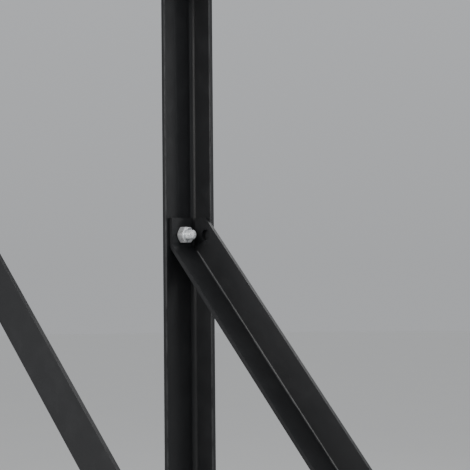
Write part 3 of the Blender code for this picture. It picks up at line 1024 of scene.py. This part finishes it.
def nut_template():
    """A nut on the Z axis, from zero to its height, chamfered on both faces."""
    fastener = settings().fastener
    nut = chamfered_hexagon("nut", 0.0, NUT_HEIGHT, True, True)
    bore = fastener.diameter / 2 + fastener.bore_gap
    wide = bore + fastener.mouth + BLANK_MARGIN
    cutter = turned_solid("bore", (
        (wide, -BLANK_MARGIN),
        (bore, fastener.mouth),
        (bore, NUT_HEIGHT - fastener.mouth),
        (wide, NUT_HEIGHT + BLANK_MARGIN),
    ), sides=48)
    combine(nut, cutter, "DIFFERENCE")
    round_edges(nut, fastener.edge, FASTENER_EASE_ANGLE)
    return nut


def fastener_place(node):
    """Where a bolt's head bears or a nut starts, the way it points, and its length."""
    low, high = node_box(node)
    middle = (low + high) / 2
    axis = 1 if node.endswith("_face") else 0
    inward = Vector((0.0, 0.0, 0.0))
    inward[axis] = -1.0 if middle[axis] > 0 else 1.0
    start = middle.copy()
    start[axis] = low[axis] if inward[axis] > 0 else high[axis]
    return start, inward, high[axis] - low[axis]


def place_fasteners(name, template, nodes, head):
    """One mesh of like fasteners, each stood on its node's place with its corners level."""
    mesh = bpy.data.meshes.new(name)
    places = [fastener_place(node) for node in nodes]
    mesh.from_pydata([start + inward * head for start, inward, _ in places], [], [])
    turns = mesh.attributes.new("turn", "QUATERNION", "POINT")
    up = Vector((0.0, 0.0, 1.0))
    for index, (_, inward, _) in enumerate(places):
        turn = Matrix((up.cross(inward), up, inward)).transposed().to_quaternion()
        turns.data[index].value = (turn.w, turn.x, turn.y, turn.z)
    piece = mesh_piece(name, mesh)
    placing_tree(name + "_places").run(piece, {
        "Fastener": template, "Material": bright_zinc()})
    remove(template)
    settle(piece, name, bright_zinc(), nodes)


def nodes_starting(prefix):
    return sorted(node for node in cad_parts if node.startswith(prefix))


# ---------------------------------------------------------------- stage

def studio_surround():
    """A pale surround, as dark as the lit floor at the horizon and lighter overhead."""
    stage = settings().stage
    world = bpy.data.worlds.new("surround")
    world.use_nodes = True
    nodes = world.node_tree.nodes
    links = world.node_tree.links
    place = nodes.new("ShaderNodeTexCoord")
    height = nodes.new("ShaderNodeSeparateXYZ")
    rise = nodes.new("ShaderNodeMapRange")
    rise.inputs["From Max"].default_value = SKY_HEIGHT
    rise.inputs["To Min"].default_value = stage.horizon
    rise.inputs["To Max"].default_value = stage.sky
    links.new(place.outputs["Generated"], height.inputs[0])
    links.new(height.outputs["Z"], rise.inputs["Value"])
    sky = nodes["Background"]
    sky.inputs["Color"].default_value = SKY_TINT
    links.new(rise.outputs["Result"], sky.inputs["Strength"])
    return world


def area_light(name, place, target, size, power, tint):
    data = bpy.data.lights.new(name, "AREA")
    data.shape = "RECTANGLE"
    data.size = size[0]
    data.size_y = size[1]
    data.energy = power
    data.color = tint
    light = bpy.data.objects.new(name, data)
    bpy.context.scene.collection.objects.link(light)
    light.location = place
    light.rotation_euler = (target - place).to_track_quat("-Z", "Y").to_euler()


def bearing(azimuth, elevation):
    return Vector((sin(azimuth) * cos(elevation), -cos(azimuth) * cos(elevation), sin(elevation)))


# ---------------------------------------------------------------- operators

class TRUSS_OT_stage(bpy.types.Operator):
    """Make the floor, the surround, the lights and the camera"""
    bl_idname = "truss.stage"
    bl_label = "Stage"

    def execute(self, context):
        stage = settings().stage
        work = bmesh.new()
        bmesh.ops.create_circle(work, cap_ends=True, segments=64, radius=FLOOR_RADIUS)
        floor = piece_from(work, "floor")
        floor.location.z = -FLOOR_DROP
        floor.data.materials.append(pale_floor())
        context.scene.world = studio_surround()
        joint = Vector((-HALF_WIDTH, HALF_DEPTH, TOP_HOLE))
        for name, (azimuth, elevation, distance, size, tint) in LIGHTS.items():
            place = joint + bearing(radians(azimuth), radians(elevation)) * distance
            area_light(name, place, joint, size, getattr(stage, name), tint)
        data = bpy.data.cameras.new("camera")
        data.lens = stage.lens
        camera = bpy.data.objects.new("camera", data)
        context.scene.collection.objects.link(camera)
        eye = bearing(stage.azimuth, stage.elevation)
        right = Vector((cos(stage.azimuth), sin(stage.azimuth), 0.0))
        camera.location = joint + eye * stage.distance
        aim = joint + right * stage.aim - camera.location
        turn = aim.to_track_quat("-Z", "Y")
        camera.rotation_mode = "QUATERNION"
        camera.rotation_quaternion = turn @ Matrix.Rotation(stage.roll, 3, "Z").to_quaternion()
        context.scene.camera = camera
        return {"FINISHED"}


class TRUSS_OT_posts(bpy.types.Operator):
    """Make the four unequal angle posts"""
    bl_idname = "truss.posts"
    bl_label = "Posts"

    def execute(self, context):
        for corner in CORNERS:
            make_post(corner)
        return {"FINISHED"}


class TRUSS_OT_main_braces(bpy.types.Operator):
    """Make the two long braces with slit and bent ends"""
    bl_idname = "truss.main_braces"
    bl_label = "Main Braces"

    def execute(self, context):
        make_main_brace("steel_main_brace_back", "main_brace_back", False)
        make_main_brace("steel_main_brace_front", "main_brace_front", True)
        return {"FINISHED"}


class TRUSS_OT_side_braces(bpy.types.Operator):
    """Make the two short braces of the narrow faces"""
    bl_idname = "truss.side_braces"
    bl_label = "Side Braces"

    def execute(self, context):
        make_side_brace("steel_side_brace_left", "side_brace_left", False)
        make_side_brace("steel_side_brace_right", "side_brace_right", True)
        return {"FINISHED"}


class TRUSS_OT_end_frames(bpy.types.Operator):
    """Make the mitred end frames and their weld beads"""
    bl_idname = "truss.end_frames"
    bl_label = "End Frames"

    def execute(self, context):
        for end, at_head in (("foot", False), ("head", True)):
            make_end_frame("steel_end_frame_" + end, "end_frame_" + end, at_head)
            make_welds("weld_beads_" + end, "end_frame_" + end, at_head)
        return {"FINISHED"}


class TRUSS_OT_bolts(bpy.types.Operator):
    """Make the bolts of the frames and the longer bolts of the braces"""
    bl_idname = "truss.bolts"
    bl_label = "Bolts"

    def execute(self, context):
        head = settings().fastener.head
        bolts = nodes_starting("bolt_")
        braces = [node for node in bolts if "_brace_" in node]
        frames = [node for node in bolts if "_brace_" not in node]
        for name, nodes in (("brace_bolts", braces), ("frame_bolts", frames)):
            whole = fastener_place(nodes[0])[2]
            place_fasteners(name, bolt_template(whole - head), nodes, head)
        return {"FINISHED"}


class TRUSS_OT_nuts(bpy.types.Operator):
    """Make the nuts"""
    bl_idname = "truss.nuts"
    bl_label = "Nuts"

    def execute(self, context):
        place_fasteners("hex_nuts", nut_template(), nodes_starting("nut_"), 0.0)
        return {"FINISHED"}


class TRUSS_PT_section(bpy.types.Panel):
    """Lists the truss section's operators"""
    bl_idname = "TRUSS_PT_section"
    bl_label = "Truss Section"
    bl_space_type = "VIEW_3D"
    bl_region_type = "UI"
    bl_category = "Truss"

    def draw(self, context):
        for operator in OPERATORS:
            self.layout.operator(operator.bl_idname)


OPERATORS = (
    TRUSS_OT_stage,
    TRUSS_OT_posts,
    TRUSS_OT_main_braces,
    TRUSS_OT_side_braces,
    TRUSS_OT_end_frames,
    TRUSS_OT_bolts,
    TRUSS_OT_nuts,
)
GROUPS = (
    SteelSettings,
    FastenerSettings,
    WeldSettings,
    PaintSettings,
    StageSettings,
    TrussSettings,
)


def register():
    for group in GROUPS + OPERATORS + (TRUSS_PT_section,):
        bpy.utils.register_class(group)
    bpy.types.Scene.truss_section = settings_of(
        TrussSettings, "Truss Section", "Settings of the truss section")


def unregister():
    del bpy.types.Scene.truss_section
    for group in reversed(GROUPS + OPERATORS + (TRUSS_PT_section,)):
        bpy.utils.unregister_class(group)


def main():
    register()
    bpy.ops.truss.stage()
    bpy.ops.truss.posts()
    bpy.ops.truss.main_braces()
    bpy.ops.truss.side_braces()
    bpy.ops.truss.end_frames()
    bpy.ops.truss.bolts()
    bpy.ops.truss.nuts()


if __name__ == "__main__":
    main()
